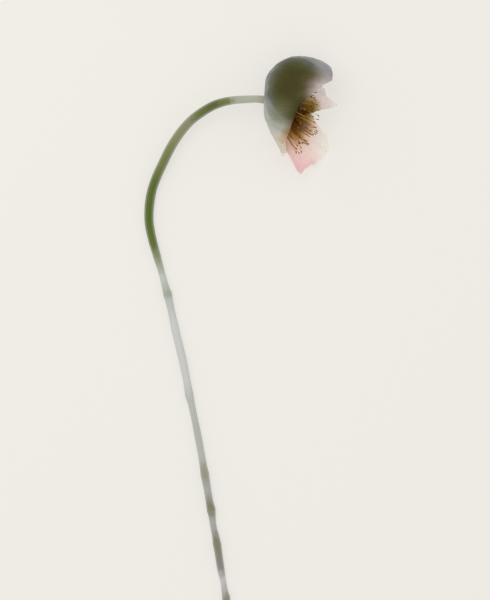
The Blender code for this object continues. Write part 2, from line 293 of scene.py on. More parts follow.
@dataclass
class Graph:
    """A short way to lay out one material's nodes.

    Args:
        name: The material's name.
    """

    name: str
    material: bpy.types.Material = field(init=False)

    def __post_init__(self) -> None:
        """Makes the material, empty but for its shader and output."""
        self.material = bpy.data.materials.new(self.name)
        self.material.use_nodes = True
        self.tree = self.material.node_tree
        self.shader = self.tree.nodes["Principled BSDF"]
        self.output = self.tree.nodes["Material Output"]

    def node(self, kind: str, **settings: object) -> bpy.types.Node:
        """Adds a node and sets its properties."""
        made = self.tree.nodes.new(kind)
        for key, value in settings.items():
            setattr(made, key, value)
        return made

    def feed(self, socket: Socket, value: object) -> None:
        """Links a socket into another, or sets its number or colour."""
        if isinstance(value, Socket):
            self.tree.links.new(value, socket)
        else:
            socket.default_value = linear(value) if isinstance(value, str) else value

    def skin(self, body: object, rough: object, normal: object) -> None:
        """Feeds the shader's colour, roughness and normal."""
        for name, value in (("Base Color", body), ("Roughness", rough), ("Normal", normal)):
            self.feed(self.shader.inputs[name], value)

    def constants(self, **values: float | Colour) -> None:
        """Sets the shader's own sockets: words joined by _ are the socket's name."""
        for key, value in values.items():
            self.feed(self.shader.inputs[key.replace("_", " ")], value)

    def value(self, name: str) -> Socket:
        """A number stored on the piece's vertices."""
        return self.node("ShaderNodeAttribute", attribute_name=name).outputs["Fac"]

    def place(self) -> Socket:
        """The place on the object, in metres."""
        return self.node("ShaderNodeTexCoord").outputs["Object"]

    def vector(self, x: object, y: object, z: object = 0.0) -> Socket:
        """A vector from three numbers."""
        made = self.node("ShaderNodeCombineXYZ")
        for socket, value in zip(made.inputs, (x, y, z)):
            self.feed(socket, value)
        return made.outputs[0]

    def math(self, operation: str, *values: object) -> Socket:
        """A Math node on one or two numbers."""
        made = self.node("ShaderNodeMath", operation=operation)
        for socket, value in zip(made.inputs, values):
            self.feed(socket, value)
        return made.outputs[0]

    def plus(self, first: object, second: object) -> Socket:
        """The sum of two numbers."""
        return self.math("ADD", first, second)

    def times(self, first: object, second: object) -> Socket:
        """The product of two numbers."""
        return self.math("MULTIPLY", first, second)

    def noise(self, vector: object, scale: float, detail: float = 3.0) -> Socket:
        """Noise from about 0 to 1 at a vector."""
        made = self.node("ShaderNodeTexNoise")
        for name, value in (("Vector", vector), ("Scale", scale), ("Detail", detail)):
            self.feed(made.inputs[name], value)
        return made.outputs["Fac"]

    def span(
        self, value: object, low: float, high: float, to_low: float = 0.0, to_high: float = 1.0
    ) -> Socket:
        """Moves a number from one range to another, held within it."""
        made = self.node("ShaderNodeMapRange", interpolation_type="SMOOTHSTEP")
        for socket, number in zip(made.inputs, (value, low, high, to_low, to_high)):
            self.feed(socket, number)
        return made.outputs["Result"]

    def ramp(self, value: object, stops: Iterable[tuple[float, Colour]]) -> Socket:
        """A colour that changes smoothly with a number, through the stops."""
        stops = list(stops)
        made = self.node("ShaderNodeValToRGB")
        made.color_ramp.interpolation = "EASE"
        elements = made.color_ramp.elements
        while len(elements) < len(stops):
            elements.new(1.0)
        for element, (place, colour) in zip(elements, stops):
            element.position = place
            element.color = linear(colour)
        self.feed(made.inputs["Fac"], value)
        return made.outputs["Color"]

    def mix(self, amount: object, first: object, second: object, blend: str = "MIX") -> Socket:
        """A colour between two, or one laid over the other."""
        made = self.node("ShaderNodeMix", data_type="RGBA", blend_type=blend, clamp_result=True)
        colours = [socket for socket in made.inputs if socket.type == "RGBA"]
        for socket, value in zip((made.inputs["Factor"], *colours), (amount, first, second)):
            self.feed(socket, value)
        return next(socket for socket in made.outputs if socket.type == "RGBA")

    def shade(
        self, colour: object, height: object, low: float, high: float, dark: float, light: float
    ) -> Socket:
        """A colour times a number that goes from dark to light as a height goes from low to high."""
        level = self.span(height, low, high, dark, light)
        return self.mix(1.0, colour, self.vector(level, level, level), "MULTIPLY")

    def bump(self, height: object, strength: float, distance: float, below: Socket | None = None) -> Socket:
        """A normal that a height tilts, over another normal if one is given."""
        made = self.node("ShaderNodeBump")
        for name, value in (("Height", height), ("Strength", strength), ("Distance", distance)):
            self.feed(made.inputs[name], value)
        if below is not None:
            self.feed(made.inputs["Normal"], below)
        return made.outputs["Normal"]


# ---------------------------------------------------------------- the flower's own measures

HEAD_TILT_DEGREES = -4.0
RECEPTACLE_MIDDLE_MM = 0.7


@dataclass(frozen=True)
class FlowerAxis:
    """The line that the flower is built round, from its joint with the stem.

    Args:
        joint: Where the stem meets the flower.
        along: The way that the flower opens.
        across: Square to it, towards the top of the head.
        up: Square to both, away from the table.
        flattening: Height of the head as a share of its width, far from the axis.
        round_base: How far out the head is still about round.
        table_gap: The least height over the table.
        table_softness: How softly a petal comes to lie on it.
    """

    joint: Array
    along: Array
    across: Array
    up: Array
    flattening: float = 0.45
    round_base: float = 8.0 * MM
    table_gap: float = 0.3 * MM
    table_softness: float = 0.7 * MM

    @classmethod
    def from_frame(cls) -> "FlowerAxis":
        """Finds the joint from the receptacle, whose middle lies on the axis."""
        low, high = (np.array(corner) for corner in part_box("receptacle"))
        tilt = math.radians(HEAD_TILT_DEGREES)
        along = np.array([math.cos(tilt), math.sin(tilt), 0.0])
        across = np.array([-math.sin(tilt), math.cos(tilt), 0.0])
        joint = (low + high) / 2 - RECEPTACLE_MIDDLE_MM * MM * along
        return cls(joint, along, across, np.array([0.0, 0.0, 1.0]))

    def flattened(self, out: Array) -> Array:
        """Height of the head for a distance out: round at its base, a flat oval further out."""
        round_part = self.round_base * np.tanh(out / self.round_base)
        return self.flattening * out + (1 - self.flattening) * round_part

    def point(self, along: Array, out: Array, azimuth: Array) -> Array:
        """World points on an oval section of the head.

        Args:
            along: Distance along the axis.
            out: Distance out from it.
            azimuth: Angle round it, in radians.

        Returns:
            joint + along x axis + out cos(azimuth) x across + flattened(out) sin(azimuth) x up.
        """
        height = self.flattened(out) * np.sin(azimuth)
        return self.joint + (
            along[..., None] * self.along
            + (out * np.cos(azimuth))[..., None] * self.across
            + height[..., None] * self.up
        )

    def lay_on_table(self, points: Array, gap: float | None = None) -> Array:
        """Lifts what would go below the table onto it: height = gap + (h + sqrt(h^2 + s^2)) / 2."""
        floor = self.table_gap if gap is None else gap
        laid = points.copy()
        above = laid[..., 2] - floor
        laid[..., 2] = floor + (above + np.sqrt(above**2 + self.table_softness**2)) / 2
        return laid


# ---------------------------------------------------------------- petals


@dataclass(frozen=True)
class PetalShape:
    """The shape of one petal, as meridians that bend by their own leans from base to tip.

    Args:
        azimuth: The petal's middle, round the axis, in degrees.
        spread: From its middle to either side edge, in degrees.
        length_mm: From its base to a full reach of 1.
        base_mm: Where its base sits along the axis.
        leans: Angle from the axis at even steps, by place across from -1 to 1, in degrees.
        reach: How far a meridian goes, as a share of the length, by place across.
        ruffle_mm: Size of the slow waves round the petal.
        waves: Half-waves of them from edge to edge, over 2.
        phase: Where they start, in radians.
        frill_mm: Size of the small waves at the free margin.
        ragged: Unevenness of the margin, as a share of the length.
        crease_mm: Height of the crepe creases.
        far_edge: Place across where the petal ends on its second side, if past 1.
    """

    azimuth: float
    spread: float
    length_mm: float
    base_mm: float
    leans: dict[float, Sequence[float]]
    reach: dict[float, float]
    ruffle_mm: float
    waves: float
    phase: float
    frill_mm: float
    ragged: float
    crease_mm: float
    far_edge: float = 1.0


class PetalName(Enum):
    """The four petals, by the name of the node that each stands for."""

    HOOD = "hood_petal"
    LOWER = "lower_petal"
    PINK = "pink_petal"
    BACK = "back_petal"


PETAL_SHAPES: dict[PetalName, PetalShape] = {
    PetalName.HOOD: PetalShape(
        azimuth=20, spread=116, length_mm=52.6, base_mm=-0.3,
        leans={
            -1.0: (104, 86, 66, 50, 34, 12, -4, -14, -24, -40, -60),
            -0.17: (106, 85, 57, 42, 29, 8, -5, -16, -32, -78, -135),
            0.4: (106, 87, 61, 44, 30, 13, 2, -11, -28, -62, -108),
            0.75: (104, 88, 70, 55, 38, 25, 14, 2, -10, -20, -30),
            1.0: (99, 86, 72, 63, 57, 54, 50, 42, 34, 26, 16),
        },
        reach={-1: 0.50, -0.75: 0.70, -0.4: 0.89, -0.2: 0.93, -0.05: 0.94, 0.1: 0.935, 0.22: 0.91, 0.3: 0.865,
               0.4: 0.79, 0.52: 0.705, 0.65: 0.61, 0.78: 0.575, 0.9: 0.57, 1: 0.56},
        ruffle_mm=0.5, waves=3, phase=0.5, frill_mm=0.35, ragged=0.006, crease_mm=0.22,
    ),
    PetalName.LOWER: PetalShape(
        azimuth=184, spread=64, length_mm=28.5, base_mm=0.5,
        leans={
            -1.0: (92, 76, 59, 52, 46, 42),
            -0.3: (95, 78, 60, 55, 57, 59),
            0.3: (95, 78, 60, 55, 57, 58),
            1.0: (92, 76, 61, 54, 50, 48),
        },
        reach={-1: 0.78, -0.6: 0.85, -0.2: 0.91, 0.15: 0.91, 0.6: 0.84, 1: 0.76},
        ruffle_mm=0.5, waves=4, phase=1.0, frill_mm=0.4, ragged=0.05, crease_mm=0.2,
    ),
    PetalName.PINK: PetalShape(
        azimuth=212, spread=38.5, length_mm=41, base_mm=1.75,
        leans={
            -1.0: (80, 66, 57, 55, 59, 62),
            -0.57: (80, 64, 55, 52, 56, 59),
            -0.14: (78, 58, 47, 43, 44, 45),
            0.29: (74, 52, 40, 35, 33, 32),
            0.72: (70, 50, 39, 33, 31, 30),
            1.0: (68, 50, 39, 34, 32, 31),
            1.3: (68, 50, 39, 34, 32, 31),
        },
        reach={-1: 0.82, -0.83: 0.88, -0.57: 0.885, -0.22: 0.92, 0.12: 1.0, 0.38: 1.04, 0.6: 1.0, 0.8: 0.91,
               1: 0.80, 1.3: 0.70},
        ruffle_mm=0.5, waves=4, phase=2.0, frill_mm=0.45, ragged=0.012, crease_mm=0.24, far_edge=1.3,
    ),
    PetalName.BACK: PetalShape(
        azimuth=295, spread=41, length_mm=44, base_mm=1.4,
        leans={
            -1.0: (90, 60, 28, 12, 2, -4),
            1.0: (90, 58, 24, 4, -10, -18),
        },
        reach={-1: 0.62, -0.8: 0.80, -0.6: 1.0, -0.4: 0.91, 0: 0.83, 0.5: 0.77, 1: 0.7},
        ruffle_mm=0.4, waves=3, phase=0.3, frill_mm=0.35, ragged=0.012, crease_mm=0.2,
    ),
}


@dataclass(frozen=True)
class Cloud:
    """A soft patch of colour on a petal.

    Args:
        place: Its middle, mm along and across the flower's axis.
        size: How far it reaches either way, in mm.
        colour: Its colour.
        amount: How much of it shows in its middle.
    """

    place: tuple[float, float]
    size: tuple[float, float]
    colour: Colour
    amount: float


@dataclass(frozen=True)
class PetalFinish:
    """The colours of one petal and how its skin takes light.

    Args:
        heart: Place of the petal's darkest part, mm along and across the flower's axis.
        heart_size: The distance either way that counts as 1.
        stops: Colour by distance from the heart.
        clouds: Patches of colour laid over that, in order.
        vein: Colour that the veins pull towards.
        vein_amount: How much they do.
        glow: Share of the light that passes through.
        dye: How much of the skin's dye that light meets, as a power of the colour.
        sheen: Strength of the silky bloom.
        sheen_colour: Its colour.
        roughness: How dull the skin is.
        vein_pitch: Radians of the veins' sine for each unit across.
        vein_bend: How far noise bends them, in radians.
        drift: How far noise moves the edges of the patches, as a share of their size.
    """

    heart: tuple[float, float]
    heart_size: tuple[float, float]
    stops: tuple[tuple[float, Colour], ...]
    clouds: tuple[Cloud, ...]
    vein: Colour
    vein_amount: float
    glow: float
    sheen: float
    sheen_colour: Colour
    dye: float = 0.5
    roughness: float = 0.62
    vein_pitch: float = 80.0
    vein_bend: float = 9.0
    drift: float = 0.07

    def distance(self, graph: Graph, place: tuple[float, float], size: tuple[float, float]) -> Socket:
        """Distance from a place on the head, each way measured in its own unit."""
        steps = [
            graph.math("DIVIDE", graph.math("SUBTRACT", graph.value(way), middle), unit_mm)
            for way, middle, unit_mm in zip(("ahead", "aside"), place, size)
        ]
        return graph.math("SQRT", graph.plus(*(graph.times(step, step) for step in steps)))

    def colour(self, graph: Graph) -> Socket:
        """The colour by distance from the heart, with the clouds over it in order."""
        last = self.stops[-1][0]
        drift = graph.span(graph.noise(graph.place(), 110.0, 2.0), 0.25, 0.75, -self.drift, self.drift)
        far = graph.plus(self.distance(graph, self.heart, self.heart_size), drift)
        body = graph.ramp(graph.math("DIVIDE", far, last), ((at / last, colour) for at, colour in self.stops))
        for cloud in self.clouds:
            near = graph.plus(self.distance(graph, cloud.place, cloud.size), drift)
            body = graph.mix(graph.span(near, 1.0, 0.1, 0.0, cloud.amount), body, cloud.colour)
        return body

    def let_through(self, graph: Graph, body: Socket) -> None:
        """Lets a share of the light through the petal, dyed by its colour to the power of dye."""
        thinner = graph.node("ShaderNodeGamma")
        graph.feed(thinner.inputs["Gamma"], self.dye)
        graph.feed(thinner.inputs["Color"], body)
        through = graph.node("ShaderNodeBsdfTranslucent")
        graph.feed(through.inputs["Color"], thinner.outputs[0])
        blend = graph.node("ShaderNodeMixShader")
        for socket, value in zip(blend.inputs, (self.glow, graph.shader.outputs[0], through.outputs[0])):
            graph.feed(socket, value)
        graph.feed(graph.output.inputs["Surface"], blend.outputs[0])

    def material(self, name: str) -> bpy.types.Material:
        """Lays out the petal's material.

        The colour goes by distance from the heart, with soft clouds over it. Veins fan out from
        the base as a sine of the place across, bent by noise, and crepe creases are fine noise
        stretched along them.

        Args:
            name: The material's name.

        Returns:
            The material, a Principled shader with some light let through.
        """
        graph = Graph(name)
        along, across = graph.value("along"), graph.value("across")
        body = self.colour(graph)
        bent = graph.times(graph.noise(graph.vector(graph.times(across, 5.0), along), 2.0), self.vein_bend)
        fan = graph.math("SINE", graph.plus(graph.times(across, self.vein_pitch), bent))
        vein = graph.span(fan, 0.6, 1.0)
        fade = graph.span(along, 0.02, 0.5, 1.0, 0.4)
        body = graph.mix(graph.times(graph.times(vein, fade), self.vein_amount), body, self.vein)
        grain = graph.noise(graph.vector(graph.times(across, 60.0), graph.times(along, 14.0)), 1.6, 5.0)
        body = graph.shade(body, grain, 0.25, 0.8, 0.90, 1.08)
        rough = graph.span(grain, 0.2, 0.8, self.roughness - 0.1, self.roughness + 0.12)
        crepe = graph.bump(grain, 0.45, 0.2 * MM)
        graph.skin(body, rough, graph.bump(vein, 0.25, 0.1 * MM, crepe))
        graph.constants(Sheen_Weight=self.sheen, Sheen_Roughness=0.35, Sheen_Tint=self.sheen_colour)
        graph.constants(Specular_IOR_Level=0.15)
        self.let_through(graph, body)
        return graph.material


PETAL_FINISHES: dict[PetalName, PetalFinish] = {
    # Painted light and shade on the hood: its dark olive middle is partly its own colour and partly painted
    # shade of its overlapping layers, and the pale stops at its rim and the pale clouds near its front paint
    # light shining through the single layer at its edge.
    PetalName.HOOD: PetalFinish(
        heart=(15, 6), heart_size=(15, 16),
        stops=((0.0, "484423"), (0.45, "47431f"), (0.64, "4b4a24"), (0.78, "55563a"), (0.9, "65695a"),
               (1.08, "979a97"), (1.3, "c4c7c3"), (1.65, "d2d3cb")),
        clouds=(
            Cloud((8.5, -7.5), (11, 12), "75774f", 0.58),
            Cloud((16, -7), (9.5, 9), "4b4720", 1.0),
            Cloud((30, 6), (17, 16), "a09078", 0.45),
            Cloud((30.5, 5), (12.3, 12), "e2d4d7", 1.0),
            Cloud((32, 18), (12, 9), "a3a0aa", 0.8),
            Cloud((19, -6), (7, 10), "3a2a06", 1.0),
            Cloud((14, -17), (7, 8), "86642c", 1.0),
            Cloud((11, -23), (8, 9), "cfa98a", 1.0),
        ),
        vein="3a3a1c", vein_amount=0.15,
        glow=0.2, sheen=0.12, sheen_colour="c9c9d2",
    ),
    PetalName.LOWER: PetalFinish(
        heart=(15, 6), heart_size=(15, 16),
        stops=((0.0, "46432a"), (0.66, "4a4a2c"), (0.8, "64654a"), (0.95, "8c8d80"), (1.15, "b0b0a6"),
               (1.4, "dfe1db"), (1.7, "e6e0d3"), (2.1, "eadfd2")),
        clouds=(),
        vein="9c9a80", vein_amount=0.2,
        glow=0.35, sheen=0.15, sheen_colour="e4e4ea",
    ),
    PetalName.PINK: PetalFinish(
        # The pink petal's dark brown heart is partly its own basal blotch and partly painted shade between
        # the crowded stamens over it.
        heart=(16, -8), heart_size=(7.5, 9),
        stops=((0.0, "241400"), (0.46, "5c3401"), (0.72, "8e5f18"), (1.0, "d4a362"),
               (1.3, "ffdcc2"), (1.8, "ffe4de"), (2.3, "ffe0e0"), (2.8, "fad6da")),
        clouds=(
            Cloud((31, -19), (15, 20), "fffaf5", 1.0),
            Cloud((21.5, -5), (5, 6), "a08a3c", 0.8),
            Cloud((28, -6), (7, 6), "fff3e2", 1.0),
        ),
        vein="e0a79c", vein_amount=0.12,
        glow=0.7, sheen=0.1, sheen_colour="ffeeee",
    ),
    PetalName.BACK: PetalFinish(
        heart=(18, -4), heart_size=(6, 6),
        stops=((0.0, "301e01"), (0.45, "4a3608"), (0.95, "86701c"), (1.35, "dcc498"),
               (1.9, "fff2ee"), (3.0, "fffcfa")),
        clouds=(Cloud((22, -1), (6, 5), "7a5c12", 0.75),),
        vein="c0aaa0", vein_amount=0.15,
        glow=0.65, sheen=0.12, sheen_colour="eee6f2", dye=0.4,
    ),
}


@dataclass
class Petal:
    """One crepe petal, as a thin closed shell.

    Args:
        name: Which petal it is.
        shape: Its form.
        finish: Its colours.
        rows: Rows of vertices from base to margin.
        columns: Vertices across.
        thickness: Of the petal near its base.
        margin_thinning: How much of that is gone at the margin.
        base_radius: Distance of the base from the axis.
        most_reach: The furthest that a meridian goes, as a share of the length.
        meridian_steps: Steps in which the meridians are worked out.
        fold_degrees: How far round the petal one fold of the crepe goes.
        fold_mm: How far along it.
    """

    name: PetalName
    shape: PetalShape
    finish: PetalFinish
    rows: int
    columns: int
    thickness: float = 0.2 * MM
    margin_thinning: float = 0.55
    base_radius: float = 4.0 * MM
    most_reach: float = 1.04
    meridian_steps: int = 301
    fold_degrees: float = 7.0
    fold_mm: float = 9.0

    def middle(self, axis: FlowerAxis) -> tuple[Array, Array, Array]:
        """The petal's middle surface before its creases.

        Each meridian starts at the base radius and goes on by (cos lean, sin lean) at every
        step. Slow waves push it in and out, and the margin is where its reach ends. A reach
        over 1 goes on in the line of the last step.

        Args:
            axis: The flower's axis.

        Returns:
            Points (rows, columns, 3), way along as a share of the length (rows, columns), and
            place across (1, columns).
        """
        shape = self.shape
        across = np.linspace(-1, shape.far_edge, self.columns)
        steps = np.linspace(0, 1, self.meridian_steps)
        meridians = sorted(shape.leans)
        table = np.array([shape.leans[key] for key in meridians], float)
        knots = np.linspace(0, 1, table.shape[1])
        leans = np.stack([smooth(across, meridians, table[:, k]) for k in range(len(knots))], axis=1)
        lean = np.radians(np.stack([smooth(steps, knots, column) for column in leans], axis=1))
        stride = shape.length_mm * MM / (self.meridian_steps - 1)
        along = shape.base_mm * MM + stride * np.cumsum(np.cos(lean), axis=0)
        out = self.base_radius + stride * np.cumsum(np.sin(lean), axis=0)
        seed = 11 * (1 + list(PetalName).index(self.name))
        reach = smooth(across, list(shape.reach), list(shape.reach.values()))
        tears = noise(across * 7, across * 0, seed) + 0.6 * noise(across * 21, across * 0, seed + 1)
        reach = reach + shape.ragged * tears
        u = np.linspace(0, 1, self.rows)[:, None] * np.minimum(reach, self.most_reach)[None, :]
        at = np.clip(u, 0, 1) * (self.meridian_steps - 1)
        row = np.minimum(at.astype(int), self.meridian_steps - 2)
        part = at - row + np.maximum(u - 1, 0) * (self.meridian_steps - 1)
        column = np.broadcast_to(np.arange(self.columns), row.shape)
        along = along[row, column] * (1 - part) + along[row + 1, column] * part
        out = out[row, column] * (1 - part) + out[row + 1, column] * part
        wave = shape.waves * math.pi * across[None, :]
        ripple = np.sin(wave + shape.phase) + 0.5 * np.sin(2.3 * wave + 1.3 + 3 * u)
        out = out + shape.ruffle_mm * MM * u**2 * ripple
        azimuth = np.radians(shape.azimuth + across * shape.spread)[None, :]
        return axis.point(along, out, np.broadcast_to(azimuth, out.shape)), u, across[None, :]

    def creases(self, u: Array, across: Array) -> Array:
        """Height of the crepe and frills over the middle surface.

        Folds fan out from the base, bent and broken by noise; finer creases run across them,
        and at the free margin small waves grow with the fourth power of the way along.

        Args:
            u: Way along the petal.
            across: Place across it.

        Returns:
            Heights in metres, of u's shape.
        """
        shape = self.shape
        seed = 101 + 13 * list(PetalName).index(self.name)
        grown = ease(u, 0.05, 0.45)
        fan = across * shape.spread / self.fold_degrees
        down = u * shape.length_mm / self.fold_mm
        bend = 0.8 * noise(fan * 0.5, down * 1.4, seed)
        folds = crumple(fan + bend, down * 0.55, seed + 1, 4)
        cross = crumple(fan * 1.4 + 0.6 * bend, down * 2.6, seed + 5, 3)
        margin = (np.arange(self.rows) / (self.rows - 1))[:, None] ** 4
        frill = noise(fan * 0.9, down * 0.3, seed + 9) + 0.5 * noise(fan * 2.3, down * 0.5, seed + 10)
        crepe = shape.crease_mm * grown * (1.5 * folds + 0.9 * cross)
        return MM * (crepe + shape.frill_mm * margin * frill)

    def build(self, axis: FlowerAxis) -> bpy.types.Object:
        """Builds the petal: two skins half a thickness either side of the creased surface.

        Args:
            axis: The flower's axis.

        Returns:
            The finished piece.
        """
        surface, u, across = self.middle(axis)
        surface = surface + self.creases(u, across)[..., None] * facing(surface)
        surface = axis.lay_on_table(surface)
        half = self.thickness / 2 * (1 - self.margin_thinning * ease(u, 0.3, 1.0))[..., None]
        rise = half * facing(surface)
        skins = np.concatenate([(surface + rise).reshape(-1, 3), (surface - rise).reshape(-1, 3)])
        count = self.rows * self.columns
        front = grid_quads(self.rows, self.columns)
        numbers = np.arange(count).reshape(self.rows, self.columns)
        loop = np.concatenate([numbers[:-1, 0], numbers[-1, :-1], numbers[:0:-1, -1], numbers[0, :0:-1]])
        after = np.roll(loop, -1)
        rim = np.stack([after, loop, loop + count, after + count], axis=1)
        quads = np.concatenate([front, front[:, ::-1] + count, rim])
        from_joint = (skins - axis.joint) / MM
        values = {
            "along": np.tile(u.ravel(), 2),
            "across": np.tile(np.broadcast_to(across, u.shape).ravel(), 2),
            "ahead": from_joint @ axis.along,
            "aside": from_joint @ axis.across,
        }
        piece = make_piece(self.name.value + "_crepe", skins, quads, values=values, sharp_degrees=75.0)
        turn_outwards(piece)
        material = self.finish.material(self.name.value + "_skin")
        return dress(piece, material, [self.name.value])


# ---------------------------------------------------------------- receptacle, capsule, stigma


@dataclass(frozen=True)
class FleshFinish:
    """The skin of the flower's solid green parts.

    Args:
        low: Colour in the hollows.
        high: Colour on the ridges.
        bloom: Colour of the waxy bloom that lies on it in patches.
        bloom_amount: How much there is.
        roughness: How dull it is.
        velvet: Strength of its velvety sheen.
    """

    low: Colour
    high: Colour
    bloom: Colour
    bloom_amount: float
    roughness: float
    velvet: float

    def material(self, name: str) -> bpy.types.Material:
        """Lays out the material: ridge height and noise pick the colour, fine noise its grain."""
        graph = Graph(name)
        place, ridge = graph.place(), graph.value("ridge")
        mottle = graph.noise(place, 420.0, 4.0)
        height = graph.plus(ridge, graph.span(mottle, 0.3, 0.7, -0.2, 0.2))
        body = graph.mix(graph.span(height, 0.0, 1.0), self.low, self.high)
        pale_amount = graph.span(graph.noise(place, 260.0, 5.0), 0.42, 0.62, 0.0, self.bloom_amount)
        body = graph.mix(pale_amount, body, self.bloom)
        grain = graph.noise(place, 2600.0, 3.0)
        rough = graph.span(mottle, 0.2, 0.8, self.roughness - 0.08, self.roughness + 0.1)
        graph.skin(body, rough, graph.bump(grain, 0.35, 0.08 * MM))
        graph.constants(Sheen_Weight=self.velvet, Sheen_Roughness=0.4, Specular_IOR_Level=0.35)
        return graph.material


@dataclass
class TurnedPart:
    """A part turned about the flower's axis, with ribs or rays round it.

    Args:
        node: The node that it stands for.
        profile: Distance along the axis and out from it, in mm.
        finish: Its skin.
        ribs: How many ribs or rays go round.
        rib_height: Their height as a share of the radius.
        sharpness: Above 1, narrow ribs between broad hollows.
        sides: Vertices round it.
        rings: Rings of vertices along the profile.
        roundness: How far the profile's corners are smoothed, from 0 to 1.
        mean_relief: The relief that leaves the radius as it is.
        least_radius: Of the small flat ends.
    """

    node: str
    profile: Sequence[tuple[float, float]]
    finish: FleshFinish
    ribs: int
    rib_height: float
    sharpness: float
    sides: int = 120
    rings: int = 64
    roundness: float = 0.65
    mean_relief: float = 0.4
    least_radius: float = 0.05 * MM

    def relief(self, sharpness: float) -> Array:
        """Ribs from 0 to 1 at every angle: a raised cosine of it, to the power of the sharpness."""
        return (0.5 + 0.5 * np.cos(self.ribs * turns(self.sides))[None, :]) ** sharpness

    def build(self, axis: FlowerAxis) -> bpy.types.Object:
        """Turns the profile: radius x (1 + rib height x relief) at every angle.

        Args:
            axis: The flower's axis.

        Returns:
            The finished piece.
        """
        profile = np.array(self.profile) * MM
        lengths = run_along(profile)
        at = np.linspace(0, lengths[-1], self.rings)
        straight, curved = np.interp(at, lengths, profile[:, 0]), smooth(at, lengths, profile[:, 0])
        along = straight * (1 - self.roundness) + curved * self.roundness
        out = np.maximum(smooth(at, lengths, profile[:, 1]), self.least_radius)[:, None]
        angle = turns(self.sides)[None, :]
        relief = self.relief(self.sharpness)
        belly = np.sin(math.pi * at / lengths[-1])[:, None] ** 0.5
        radius = out * (1 + self.rib_height * belly * (relief - self.mean_relief))
        rings = axis.joint + (
            along[:, None, None] * axis.along
            + (radius * np.cos(angle))[..., None] * axis.across
            + (radius * np.sin(angle))[..., None] * axis.up
        )
        piece = tube_piece(self.node + "_skin", rings, {"ridge": np.broadcast_to(relief, radius.shape)})
        return dress(piece, self.finish.material(self.node + "_flesh"), [self.node])


@dataclass
class StigmaDisc(TurnedPart):
    """The capsule's cap: a lobed disc with a velvety raised ray over each rib.

    Args:
        ray_height: How high the rays stand.
        ray_sharpness: How narrow they are.
    """

    ray_height: float = 0.5 * MM
    ray_sharpness: float = 3.0

    def build(self, axis: FlowerAxis) -> bpy.types.Object:
        """Turns the disc, then lifts its rays: height x relief on its top, fading to its middle.

        Args:
            axis: The flower's axis.

        Returns:
            The finished piece.
        """
        piece = super().build(axis)
        mesh = piece.data
        points = np.empty(len(mesh.vertices) * 3)
        mesh.vertices.foreach_get("co", points)
        points = points.reshape(self.rings, self.sides, 3)
        share = np.linspace(0, 1, self.rings)[:, None]
        on_top = ease(share, 0.45, 0.7) * (1 - ease(share, 0.93, 1.0))
        ray = self.relief(self.ray_sharpness) * on_top
        points = points + (self.ray_height * ray)[..., None] * axis.along
        mesh.vertices.foreach_set("co", points.ravel())
        mesh.update()
        return piece


# ---------------------------------------------------------------- stamens


@dataclass(frozen=True)
class StamenRing:
    """One ring of stamens.

    Args:
        name: Its name.
        first_node: Number of the first node that it stands for.
        count: How many stamens stand for nodes.
        radius_mm: Radius of the ring of feet.
        leans: Lean from the axis at the foot and at the tip, in degrees.
        length_mm: Length of a filament.
        crowding: How far the petals keep its tips in, 0 to 1.
        between: How many more stand between each two.
    """

    name: str
    first_node: int
    count: int
    radius_mm: float
    leans: tuple[float, float]
    length_mm: float
    crowding: float
    between: int


STAMEN_GAP_MM = 0.2
STAMEN_RINGS = (
    StamenRing("inner_stamens", 1, 11, 1.5, (42, 12), 25.6, 0.0, 2),
    StamenRing("middle_stamens", 12, 17, 2.25, (51, 28), 25.1, 0.5, 1),
    StamenRing("outer_stamens", 29, 22, 3.0, (60, 40), 24.6, 1.0, 1),
)


@dataclass(frozen=True)
class StamenFinish:
    """Colours of the filaments from foot to tip, with some pale, and of the dusted anthers."""

    foot: Colour = "2a1600"
    middle: Colour = "472600"
    tip: Colour = "8a5810"
    pale: Colour = "c8a454"
    anther: Colour = "744c12"
    pollen: Colour = "a67c38"

    def material(self) -> bpy.types.Material:
        """Lays out the material: a ramp along the filament, and grains of pollen on the anther."""
        graph = Graph("stamen_threads")
        along, anther, place = graph.value("along"), graph.value("anther"), graph.place()
        thread = graph.ramp(along, ((0.0, self.foot), (0.5, self.middle), (1.0, self.tip)))
        faded = graph.times(graph.value("pale"), graph.span(along, 0.3, 0.8))
        thread = graph.mix(faded, thread, self.pale)
        grains = graph.noise(place, 5200.0, 2.0)
        dusty = graph.mix(graph.span(grains, 0.42, 0.62), self.anther, self.pollen)
        rough = graph.span(grains, 0.3, 0.7, 0.5, 0.8)
        graph.skin(graph.mix(anther, thread, dusty), rough, graph.bump(grains, 0.5, 0.06 * MM))
        graph.constants(Specular_IOR_Level=0.1)
        return graph.material


